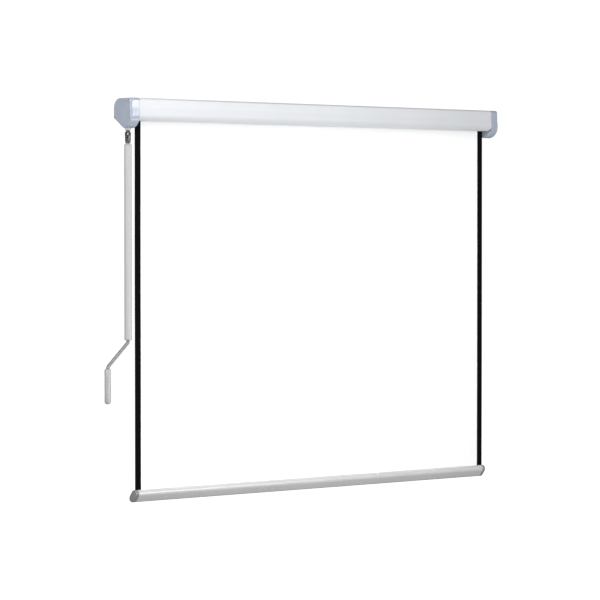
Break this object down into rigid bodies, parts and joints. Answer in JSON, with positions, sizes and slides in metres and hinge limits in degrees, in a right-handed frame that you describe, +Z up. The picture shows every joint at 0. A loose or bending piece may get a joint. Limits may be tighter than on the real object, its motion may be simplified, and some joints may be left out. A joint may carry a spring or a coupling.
{
  "type": "pull-down projector screen",
  "caption": "Wall-hung roller projection screen in a long slim case, wound up and down by a jointed crank at its left end.",
  "frame": {"origin": "centre of the case's flat back, where it lies on the wall", "axes": "+X to the viewer's right along the case, -Y out of the wall towards the viewer, +Z up"},
  "size_m": [1.988, 0.104, 1.4849],
  "materials": {
    "white_paint": "satin white powder coat",
    "grey_plastic": "fine matt",
    "white_fabric": "matt coated cloth",
    "zinc_steel": "zinc plated",
    "dark_steel": "dark plated",
    "cast_zinc": "as cast",
    "brass": "machined",
    "black_plastic": "fine matt",
    "grey_tube": "satin",
    "rod_paint": "satin grey paint"
  },
  "bodies": {
    "housing": {"case_extrusion": "white_paint", "cover_screw_1": "zinc_steel", "cover_screw_2": "zinc_steel", "cover_screw_3": "zinc_steel", "cover_screw_4": "zinc_steel", "fabric_sheet": "white_fabric", "gearbox_body": "cast_zinc", "gearbox_cover": "cast_zinc", "gearbox_screw_1": "zinc_steel", "gearbox_screw_2": "zinc_steel", "idler_axle": "dark_steel", "left_bearing_plate": "zinc_steel", "left_cap_screw_lower": "zinc_steel", "left_cap_screw_upper": "zinc_steel", "left_end_cap": "grey_plastic", "right_bearing_plate": "zinc_steel", "right_cap_screw_lower": "zinc_steel", "right_cap_screw_upper": "zinc_steel", "right_end_cap": "grey_plastic", "wall_hanger_left": "zinc_steel", "wall_hanger_right": "zinc_steel", "worm_bush_bottom": "brass", "worm_bush_top": "brass"},
    "roller": {"drive_plug": "cast_zinc", "fabric_roll": "white_fabric", "idler_bush": "brass", "idler_plug": "black_plastic", "plug_rivet_1": "zinc_steel", "plug_rivet_2": "zinc_steel", "plug_rivet_3": "zinc_steel", "plug_rivet_4": "zinc_steel", "roller_tube": "zinc_steel", "wheel_screw": "zinc_steel", "worm_wheel": "brass"},
    "worm": {"upper_fork": "dark_steel", "upper_fork_pin": "zinc_steel", "worm_clip": "zinc_steel", "worm_shaft": "dark_steel"},
    "cross": {"joint_block": "dark_steel", "joint_long_pin": "zinc_steel", "joint_short_pin_back": "zinc_steel", "joint_short_pin_front": "zinc_steel"},
    "sleeve": {"ferrule_bottom": "grey_tube", "ferrule_top": "grey_tube", "upper_grip_tube": "grey_tube"},
    "crank": {"crank_rod": "rod_paint", "lower_fork": "dark_steel", "lower_fork_pin": "zinc_steel", "rod_end_cap": "grey_plastic", "stop_ring": "grey_tube"},
    "grip": {"lower_grip": "grey_tube"},
    "bar": {"bar_cap_left": "grey_plastic", "bar_cap_right": "grey_plastic", "bar_keder": "black_plastic", "bottom_bar": "white_paint"}
  },
  "joints": [
    {"name": "crank_swing", "type": "hinge", "parent": "housing", "child": "sleeve", "pos_m": [-0.931, -0.06, -0.087], "axis": [-1, 0, 0], "range_deg": [0, 60]},
    {"name": "crank_turn", "type": "hinge", "parent": "sleeve", "child": "crank", "pos_m": [-0.931, -0.06, -0.087], "axis": [0, 0, -1], "range_deg": [0, 22680]},
    {"name": "grip_spin", "type": "hinge", "parent": "crank", "child": "grip", "pos_m": [-1.026, -0.06, -1], "axis": [0, 0, -1], "continuous": true},
    {"name": "worm_turn", "type": "hinge", "parent": "housing", "child": "worm", "pos_m": [-0.931, -0.06, -0.087], "axis": [0, 0, -1], "range_deg": [0, 22680]},
    {"name": "cross_tilt", "type": "hinge", "parent": "worm", "child": "cross", "pos_m": [-0.931, -0.06, -0.087], "axis": [-1, 0, 0], "range_deg": [0, 60]},
    {"name": "roller_turn", "type": "hinge", "parent": "housing", "child": "roller", "pos_m": [0, -0.036, 0.0125], "axis": [-1, 0, 0], "range_deg": [0, 3240]},
    {"name": "screen_lift", "type": "slide", "parent": "housing", "child": "bar", "axis": [0, 0, 1], "range_m": [0, 1.352], "deforming": ["fabric_sheet"]}
  ],
  "couplings": [
    {"joint": "worm_turn", "follows": "crank_turn", "ratio": 1},
    {"joint": "roller_turn", "follows": "crank_turn", "ratio": 0.14286},
    {"joint": "screen_lift", "follows": "crank_turn", "m_per_rad": 0.0034155},
    {"joint": "cross_tilt", "follows": "crank_swing", "ratio": 1}
  ]
}
